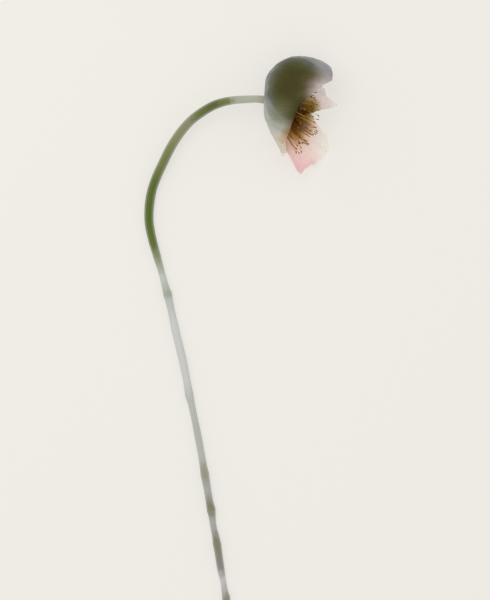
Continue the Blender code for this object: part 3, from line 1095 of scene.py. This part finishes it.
@dataclass
class Stamens:
    """The three rings of stamens round the capsule.

    Args:
        finish: Their colours.
        foot_mm: Where their feet sit along the axis.
        foot_radius_mm: Radius of a filament at its foot.
        tip_radius_mm: Radius at its tip.
        anther_length_mm: Length of an anther.
        anther_radius_mm: Half its width.
        anther_flatness: Its thickness as a share of its width.
        anther_foot: The share of its length that is below the filament's tip.
        anther_tumble: How unevenly the anthers point.
        pale_share: The share of filaments that have faded.
        droop_mm: How far the tips hang down across the axis.
        sway_degrees: How far the tips lean to either side of their ring's lean.
        uneven: Unevenness of the filaments' lengths, as a share.
        steps: Rings of vertices along a filament.
        sides: Vertices round it.
        anther_rings: Rings of vertices along an anther.
        anther_sides: Vertices round it.
        room: The room that the petals leave, by azimuth in degrees.
    """

    finish: StamenFinish = field(default_factory=StamenFinish)
    foot_mm: float = 1.8
    foot_radius_mm: float = 0.16
    tip_radius_mm: float = 0.09
    anther_length_mm: float = 1.5
    anther_radius_mm: float = 0.28
    anther_flatness: float = 0.72
    anther_foot: float = 0.12
    anther_tumble: float = 0.45
    pale_share: float = 0.18
    droop_mm: float = 3.0
    sway_degrees: float = 6.0
    uneven: float = 0.07
    steps: int = 22
    sides: int = 6
    anther_rings: int = 9
    anther_sides: int = 10
    room: dict[float, float] = field(default_factory=lambda: {
        0: 1.0, 60: 1.0, 120: 1.0, 170: 1.0, 200: 0.85, 235: 0.76, 270: 0.74, 320: 0.76, 360: 1.0,
    })

    def centre_lines(self, axis: FlowerAxis, ring: StamenRing, index: Array) -> Array:
        """Where the filaments run: each leans out, then less and less, sways and droops.

        Args:
            axis: The flower's axis.
            ring: The ring.
            index: Numbers round the ring, fractions between two stamens.

        Returns:
            Points, shape (stamens, steps, 3).
        """
        steps = np.linspace(0, 1, self.steps)[None, :]
        index = index[:, None]
        azimuth = 360 * index / ring.count + 47 * ring.radius_mm
        room = smooth(azimuth % 360, list(self.room), list(self.room.values()))
        start, end = ring.leans
        sway = self.sway_degrees * np.sin(2.4 * index + ring.radius_mm)
        length = ring.length_mm * (1 + self.uneven * np.sin(1.7 * index)) * MM
        lean = np.radians(start + (end - start) * steps + sway * steps**2)
        stride = length / (self.steps - 1)
        run = (lean[:, 1:] + lean[:, :-1]) / 2
        nothing = np.zeros_like(index)
        along = self.foot_mm * MM + np.concatenate([nothing, np.cumsum(np.cos(run) * stride, axis=1)], axis=1)
        out = np.concatenate([nothing, np.cumsum(np.sin(run) * stride, axis=1)], axis=1)
        out = ring.radius_mm * MM + out * (1 - (1 - room) * ring.crowding)
        points = axis.point(along, out, np.radians(azimuth) + 0 * steps)
        return points - self.droop_mm * MM * (steps**2)[..., None] * axis.across

    def threads(self, axis: FlowerAxis, lines: Array, forward: Array) -> Array:
        """The filaments: a circle carried along each centre line, tapering.

        Args:
            axis: The flower's axis.
            lines: Centre lines, shape (stamens, steps, 3).
            forward: Their directions, of the same shape.

        Returns:
            Points, shape (stamens, steps, sides, 3).
        """
        side = unit(np.cross(forward, axis.up))
        other = np.cross(side, forward)
        angle = turns(self.sides)[:, None]
        radius = np.linspace(self.foot_radius_mm, self.tip_radius_mm, self.steps) * MM
        reach = np.cos(angle) * side[:, :, None] + np.sin(angle) * other[:, :, None]
        return lines[:, :, None] + radius[None, :, None, None] * reach

    def anthers(self, axis: FlowerAxis, tips: Array, heading: Array) -> Array:
        """The two-lobed anthers: the radius is the root of a sine along each.

        The section swells to both sides as |cos| of the angle, and is flatter than it is wide.

        Args:
            axis: The flower's axis.
            tips: Tips of the filaments, shape (stamens, 3).
            heading: Which way each anther points, of the same shape.

        Returns:
            Points, shape (stamens, rings, sides, 3).
        """
        first = unit(np.cross(heading, axis.up))
        second = np.cross(first, heading)
        share = np.linspace(0.02, 0.98, self.anther_rings)
        turn = turns(self.anther_sides)
        profile = self.anther_radius_mm * MM * np.sqrt(np.sin(math.pi * share))
        lobes = 0.62 + 0.38 * np.abs(np.cos(turn)) ** 0.8
        wide = (np.cos(turn) * lobes)[None, None, :, None] * first[:, None, None]
        thick = (self.anther_flatness * np.sin(turn) * lobes)[None, None, :, None] * second[:, None, None]
        length = self.anther_length_mm * MM * heading[:, None, None]
        spine = tips[:, None, None] + (share - self.anther_foot)[None, :, None, None] * length
        return spine + profile[None, :, None, None] * (wide + thick)

    def build_ring(
        self, axis: FlowerAxis, ring: StamenRing, material: bpy.types.Material
    ) -> bpy.types.Object:
        """Builds one ring of stamens, those between the numbered ones last.

        Args:
            axis: The flower's axis.
            ring: The ring.
            material: What they are made of.

        Returns:
            The finished piece.
        """
        generator = np.random.default_rng(500 + ring.count)
        own = np.arange(ring.count, dtype=float)
        extra = (own[:, None] + (1 + np.arange(ring.between)) / (ring.between + 1)).ravel()
        lines = self.centre_lines(axis, ring, np.concatenate([own, extra]))
        count = len(lines)
        forward = unit(np.gradient(lines, axis=1))
        heading = unit(forward[:, -1] + self.anther_tumble * generator.normal(size=(count, 3)))
        pale_ones = (generator.random(count) < self.pale_share).astype(float)
        bodies = (self.threads(axis, lines, forward), self.anthers(axis, lines[:, -1], heading))
        points, quads, caps = [], [], []
        values = {"along": [], "anther": [], "pale": []}
        first_vertex = 0
        for is_anther, body in enumerate(bodies):
            rows, columns = body.shape[1:3]
            one = grid_quads(rows, columns, wrap=True)
            starts = first_vertex + rows * columns * np.arange(count)
            quads.append((one[None] + starts[:, None, None]).reshape(-1, 4))
            low_end, high_end = np.arange(columns), np.arange(columns)[::-1] + (rows - 1) * columns
            caps += (starts[:, None] + low_end).tolist() + (starts[:, None] + high_end).tolist()
            points.append(body.reshape(-1, 3))
            along = np.linspace(0, 1, rows)[None, :, None]
            values["along"].append(np.broadcast_to(along, body.shape[:3]).ravel())
            values["anther"].append(np.full(rows * columns * count, float(is_anther)))
            values["pale"].append(np.repeat(pale_ones, rows * columns))
            first_vertex += rows * columns * count
        stored = {key: np.concatenate(parts) for key, parts in values.items()}
        laid = axis.lay_on_table(np.concatenate(points), STAMEN_GAP_MM * MM)
        piece = make_piece(ring.name, laid, np.concatenate(quads), caps, stored)
        turn_outwards(piece)
        numbers = range(ring.first_node, ring.first_node + ring.count)
        return dress(piece, material, [f"stamen_{number:02d}" for number in numbers])

    def build(self, axis: FlowerAxis) -> list[bpy.types.Object]:
        """Builds every ring, all of one material."""
        material = self.finish.material()
        return [self.build_ring(axis, ring, material) for ring in STAMEN_RINGS]


# ---------------------------------------------------------------- stem

# The stem from under the head to its cut: mm from the flower's joint in x and y, clear height
# over the table, and radius.
STEM_ROUTE = (
    (-0.3, 0.1, 12.9, 2.4), (-1.1, 0.1, 13.1, 2.1), (-4.0, 0.4, 12.9, 1.85), (-9.8, 0.3, 12.5, 1.9),
    (-17.7, -0.3, 11.6, 2.05), (-25.6, -2.4, 10.3, 2.25), (-31.6, -5.7, 9.0, 2.3),
    (-37.7, -10.3, 7.4, 2.3), (-43.7, -17.2, 5.4, 2.35), (-48.0, -24.0, 3.9, 2.4),
    (-51.6, -31.2, 2.5, 2.4), (-55.0, -38.5, 1.3, 2.4), (-57.1, -44.5, 0.6, 2.4),
    (-58.6, -53.5, 0.1, 2.4), (-58.6, -61.5, 0.0, 2.3), (-57.1, -69.4, 0.0, 2.2),
    (-55.0, -77.0, 0.0, 2.0), (-52.0, -87.5, 0.0, 1.65), (-50.3, -94.0, 0.0, 1.9),
    (-49.4, -97.0, 0.0, 2.2), (-48.6, -100.5, 0.0, 1.95), (-45.5, -115.0, 0.0, 2.0),
    (-41.2, -133.0, 0.0, 2.0), (-39.1, -144.0, 0.0, 1.95), (-38.5, -147.5, 0.0, 2.1),
    (-37.7, -151.0, 0.0, 1.85), (-34.0, -169.0, 0.0, 1.8), (-31.3, -184.0, 0.0, 1.9),
    (-30.7, -187.5, 0.0, 2.1), (-30.1, -191.0, 0.0, 2.0), (-28.2, -202.0, 0.0, 1.95),
    (-27.5, -205.5, 0.0, 2.15), (-27.0, -209.0, 0.0, 1.8), (-26.3, -214.0, 0.0, 1.6),
    (-25.2, -219.0, 0.0, 1.8), (-24.6, -222.5, 0.0, 2.05), (-24.0, -226.0, 0.0, 1.95),
    (-22.5, -236.0, 0.0, 1.8), (-21.3, -242.0, 0.0, 1.45), (-20.6, -246.5, 0.0, 1.65),
    (-20.0, -249.5, 0.0, 2.0), (-19.5, -252.5, 0.0, 1.85), (-18.7, -258.0, 0.0, 1.85),
)
# Numbers in the route of the points in the middle of a swollen node.
STEM_NODES = (19, 24, 28, 31, 35, 40)


@dataclass(frozen=True)
class StemFinish:
    """Colour of the stem by distance from the head in mm, and how its skin takes light."""

    stops: tuple[tuple[float, Colour], ...] = (
        (0, "969a85"), (5, "abae9e"), (14, "a3a696"), (19, "6b7140"), (26, "52591f"), (34, "5d662b"),
        (42, "7f8164"), (50, "7e8059"), (64, "6c7140"), (80, "515e12"), (95, "4b5e0c"), (108, "56641c"),
        (114, "798060"), (120, "9aa28e"), (126, "b7c0bb"), (131, "acb2a7"), (134, "9ca292"), (139, "b4bab6"),
        (150, "c2c5c5"), (176, "c1c4c2"), (192, "b1b4af"), (206, "abafa6"), (218, "adafaa"), (226, "90907c"),
        (235, "a1a3a2"), (244, "777760"), (252, "a1a2a2"), (262, "7b7866"), (274, "837e79"), (281, "b9b7bd"),
        (285, "b0adb0"), (291, "868170"),
    )
    pith: Colour = "d9dcbf"
    hollow: Colour = "8c9065"
    # Laid thinly in the rib hollows as waxy bloom, and on the flanks as painted sheen.
    bloom: Colour = "c4cac6"
    roughness: float = 0.5
    wander_mm: float = 1.3

    def material(self, length: float) -> bpy.types.Material:
        """Lays out the material: ramp, streaks, bloom in the rib hollows, painted sheen on the flanks.

        Args:
            length: The stem's length in mm.

        Returns:
            The material.
        """
        graph = Graph("stem_skin")
        run, rib, cut = graph.value("run"), graph.value("rib"), graph.value("cut")
        turn_x, turn_y = graph.value("turn_x"), graph.value("turn_y")
        streaks, wander = (
            graph.noise(graph.vector(turn_x, turn_y, graph.times(run, length / cell_mm)), scale, detail)
            for cell_mm, scale, detail in ((14, 5.0, 5.0), (3, 1.1, 3.0))
        )
        shift = self.wander_mm / length
        moved = graph.plus(run, graph.span(wander, 0.25, 0.75, -shift, shift))
        body = graph.ramp(moved, ((at / length, colour) for at, colour in self.stops))
        body = graph.shade(body, streaks, 0.3, 0.75, 0.96, 1.03)
        # Two shares of the bloom colour: a little waxy bloom in the hollows between the ribs, and painted
        # sheen on the flanks and underside, away from the top, for the stem's pale lit edges.
        for pale_amount in (graph.span(rib, 0.0, 0.5, 0.05, 0.0), graph.span(turn_y, 0.98, 0.5, 0.0, 0.34)):
            body = graph.mix(pale_amount, body, self.bloom)
        flesh = graph.ramp(cut, ((0.0, self.pith), (0.6, self.pith), (1.0, self.hollow)))
        body = graph.mix(graph.span(cut, 0.0, 0.05), body, flesh)
        rough = graph.span(streaks, 0.2, 0.8, self.roughness - 0.08, self.roughness + 0.14)
        graph.skin(body, rough, graph.bump(streaks, 0.15, 0.12 * MM))
        graph.constants(Sheen_Weight=0.75, Sheen_Roughness=0.25, Sheen_Tint="e8eddc")
        graph.constants(Specular_IOR_Level=0.2)
        return graph.material


@dataclass
class Stem:
    """The long stem: down from the head, over its bend and along the table to the cut.

    Args:
        finish: Its skin.
        rings: Rings of vertices along it.
        sides: Vertices round it.
        ribs: How many low ribs go round.
        rib_height: Their height as a share of the radius.
        collar_height: Height of the narrow collar at a node, as a share of the radius.
        collar_mm: How far the collar goes either way.
        unevenness: Of the radius, as a share.
        resting: Gap under it where it lies.
        least_height: The lowest that any point goes.
        cut_in: Size of the rings that turn in over the cut, as shares of the stem's.
        cut_out_mm: How far past the cut each of them is.
        cut_depth: What each of them counts as, from the skin's 0 to the hollow's 1.
    """

    finish: StemFinish = field(default_factory=StemFinish)
    rings: int = 1100
    sides: int = 40
    ribs: int = 11
    rib_height: float = 0.012
    collar_height: float = 0.05
    collar_mm: float = 0.7
    unevenness: float = 0.015
    resting: float = 0.08 * MM
    least_height: float = 0.03 * MM
    cut_in: tuple[float, ...] = (0.96, 0.78, 0.5, 0.28)
    cut_out_mm: tuple[float, ...] = (0.10, 0.12, -0.1, -0.9)
    cut_depth: tuple[float, ...] = (0.3, 0.5, 0.8, 1.0)

    def build(self, axis: FlowerAxis) -> bpy.types.Object:
        """Carries a ribbed circle along the route.

        radius x (1 + rib height x raised cosine of the angle + a narrow collar at each node),
        and a few rings more that turn in over the cut to its pith and hollow.

        Args:
            axis: The flower's axis.

        Returns:
            The finished piece.
        """
        route = np.array(STEM_ROUTE) * MM
        at = run_along(route[:, :3])
        run = np.linspace(0, at[-1], self.rings)
        x, y, clear, radius = (smooth(run, at, route[:, k]) for k in range(4))
        height = np.maximum(clear, 0) + radius + self.resting
        path = np.stack([axis.joint[0] + x, axis.joint[1] + y, height], axis=1)
        forward = unit(np.gradient(path, axis=0))
        side = unit(np.cross(forward, axis.up))
        other = np.cross(side, forward)
        angle = turns(self.sides)[None, :]
        run_mm = (run / MM)[:, None]
        twist = 0.6 * np.sin(run_mm / 60)
        rib = 0.5 + 0.5 * np.cos(self.ribs * (angle + twist) + 0.5 * np.sin(run_mm / 9))
        nodes = at[list(STEM_NODES)] / MM
        lean = 0.5 * np.cos(angle[..., None] + nodes * 1.7)
        collar = np.exp(-(((run_mm[..., None] - nodes + lean) / self.collar_mm) ** 2)).sum(axis=-1)
        uneven = self.unevenness * noise(run_mm / 4, angle * 1.2, 77)
        scale = 1 + self.rib_height * (rib - 0.5) + self.collar_height * collar + uneven
        reach = np.cos(angle)[..., None] * side[:, None] + np.sin(angle)[..., None] * other[:, None]
        skin = path[:, None] + (radius[:, None] * scale)[..., None] * reach
        cut_in, cut_out = np.array(self.cut_in), np.array(self.cut_out_mm) * MM
        rim = (skin[-1] - path[-1])[None] * cut_in[:, None, None]
        end = path[-1] + cut_out[:, None, None] * forward[-1] + rim
        rings = np.concatenate([skin, end])
        rings[..., 2] = np.maximum(rings[..., 2], self.least_height)
        shares = np.concatenate([run / at[-1], np.ones(len(cut_in))])
        depths = np.concatenate([np.zeros(self.rings), self.cut_depth])
        values = {
            "run": np.broadcast_to(shares[:, None], rings.shape[:2]),
            "rib": np.concatenate([rib, np.repeat(rib[-1:], len(cut_in), axis=0)]),
            "cut": np.broadcast_to(depths[:, None], rings.shape[:2]),
            "turn_x": np.broadcast_to(np.cos(angle), rings.shape[:2]),
            "turn_y": np.broadcast_to(np.sin(angle), rings.shape[:2]),
        }
        piece = tube_piece("stem_skin", rings, values)
        return dress(piece, self.finish.material(at[-1] / MM), ["stem"])


# ---------------------------------------------------------------- studio


@dataclass
class Studio:
    """A pale glowing table, soft light from all round and a camera that looks straight down."""

    floor_colour: Colour = "8f8d8a"
    floor_light: Colour = "bfbdb9"
    floor_glow: float = 1.10
    sky: Colour = "f2efea"
    sky_strength: float = 1.0
    lamp_watts: float = 7.0
    lamp_size: float = 1.1
    lamp_place: tuple[float, float, float] = (-0.5, 0.45, 1.3)
    lens: float = 300.0
    sensor: float = 36.0
    clip: tuple[float, float] = (0.01, 20.0)
    camera_height: float = 2.5
    focus_height: float = 0.014
    from_joint_mm: tuple[float, float] = (-10.5, -100.0)
    floor_half: float = 9.0

    def build(self, axis: FlowerAxis) -> None:
        """Makes the floor, the light and the camera.

        Args:
            axis: The flower's axis, which the camera is placed from.
        """
        self.lay_floor()
        self.light()
        self.place_camera(axis)
        bpy.context.scene.view_settings.view_transform = "Standard"

    def lay_floor(self) -> None:
        """A flat square of pale, faintly glowing paper at z = 0."""
        half = self.floor_half
        corners = np.array([[-half, -half, 0], [half, -half, 0], [half, half, 0], [-half, half, 0]])
        floor = make_piece("table_top", corners, np.array([[0, 1, 2, 3]]))
        graph = Graph("table_paper")
        grain = graph.noise(graph.place(), 300.0, 4.0)
        body = graph.shade(self.floor_colour, grain, 0.3, 0.7, 0.99, 1.0)
        graph.feed(graph.shader.inputs["Base Color"], body)
        graph.constants(Roughness=0.9, Specular_IOR_Level=0.0)
        graph.constants(Emission_Color=self.floor_light, Emission_Strength=self.floor_glow)
        floor.data.materials.append(graph.material)

    def light(self) -> None:
        """Even light from all round, and one large lamp high over the table, to one side."""
        scene = bpy.context.scene
        world = bpy.data.worlds.new("soft_room")
        world.use_nodes = True
        background = world.node_tree.nodes["Background"]
        background.inputs["Color"].default_value = linear(self.sky)
        background.inputs["Strength"].default_value = self.sky_strength
        scene.world = world
        lamp = bpy.data.lights.new("soft_box", "AREA")
        lamp.energy, lamp.size = self.lamp_watts, self.lamp_size
        box = bpy.data.objects.new("soft_box", lamp)
        box.location = self.lamp_place
        x, y, z = self.lamp_place
        box.rotation_euler = (math.atan2(math.hypot(x, y), z), 0.0, math.atan2(-x, y))
        scene.collection.objects.link(box)

    def place_camera(self, axis: FlowerAxis) -> None:
        """A long lens that looks straight down, placed from the flower's joint."""
        camera = bpy.data.cameras.new("camera")
        camera.lens, camera.sensor_width = self.lens, self.sensor
        camera.clip_start, camera.clip_end = self.clip
        eye = bpy.data.objects.new("camera", camera)
        right, up = (step * MM for step in self.from_joint_mm)
        height = self.camera_height + self.focus_height
        eye.location = (axis.joint[0] + right, axis.joint[1] + up, height)
        bpy.context.scene.collection.objects.link(eye)
        bpy.context.scene.camera = eye


# ---------------------------------------------------------------- the whole flower

GREEN_FLESH = FleshFinish("4c5230", "7c8157", "a9ad98", 0.35, 0.55, 0.2)
CAPSULE_SKIN = FleshFinish("39401f", "6c7440", "8f9a80", 0.5, 0.5, 0.25)
STIGMA_VELVET = FleshFinish("1e1002", "3c2406", "5a3e12", 0.3, 0.85, 0.08)

RECEPTACLE_PROFILE = ((-0.6, 2.6), (-0.35, 3.6), (0.3, 4.15), (1.2, 4.2), (1.8, 3.7), (2.05, 2.9), (2.1, 1.0))
CAPSULE_PROFILE = (
    (1.9, 1.0), (3.8, 1.0), (5.4, 1.9), (7.2, 3.1), (9.2, 3.95), (11.2, 4.2), (13.2, 3.9), (14.8, 3.2),
    (15.8, 2.3),
)
STIGMA_PROFILE = ((15.5, 2.2), (16.1, 2.6), (16.4, 3.8), (16.9, 4.3), (17.4, 3.7), (17.9, 1.5), (18.0, 0.4))

PETAL_GRIDS = {
    PetalName.HOOD: (170, 270),
    PetalName.LOWER: (130, 190),
    PetalName.PINK: (150, 150),
    PetalName.BACK: (150, 150),
}


def main() -> None:
    """Builds the flower from its stem outwards, then the studio."""
    axis = FlowerAxis.from_frame()
    made = [Stem().build(axis)]
    made.append(TurnedPart("receptacle", RECEPTACLE_PROFILE, GREEN_FLESH, 8, 0.05, 1.0).build(axis))
    made.append(TurnedPart("seed_capsule", CAPSULE_PROFILE, CAPSULE_SKIN, 10, 0.09, 1.5).build(axis))
    made.append(StigmaDisc("stigma_disc", STIGMA_PROFILE, STIGMA_VELVET, 10, 0.10, 0.7).build(axis))
    made += Stamens().build(axis)
    for name in PetalName:
        rows, columns = PETAL_GRIDS[name]
        made.append(Petal(name, PETAL_SHAPES[name], PETAL_FINISHES[name], rows, columns).build(axis))
    for piece in made:
        log.info("%s: %d faces", piece.name, len(piece.data.polygons))
    Studio().build(axis)


if __name__ == "__main__":
    main()
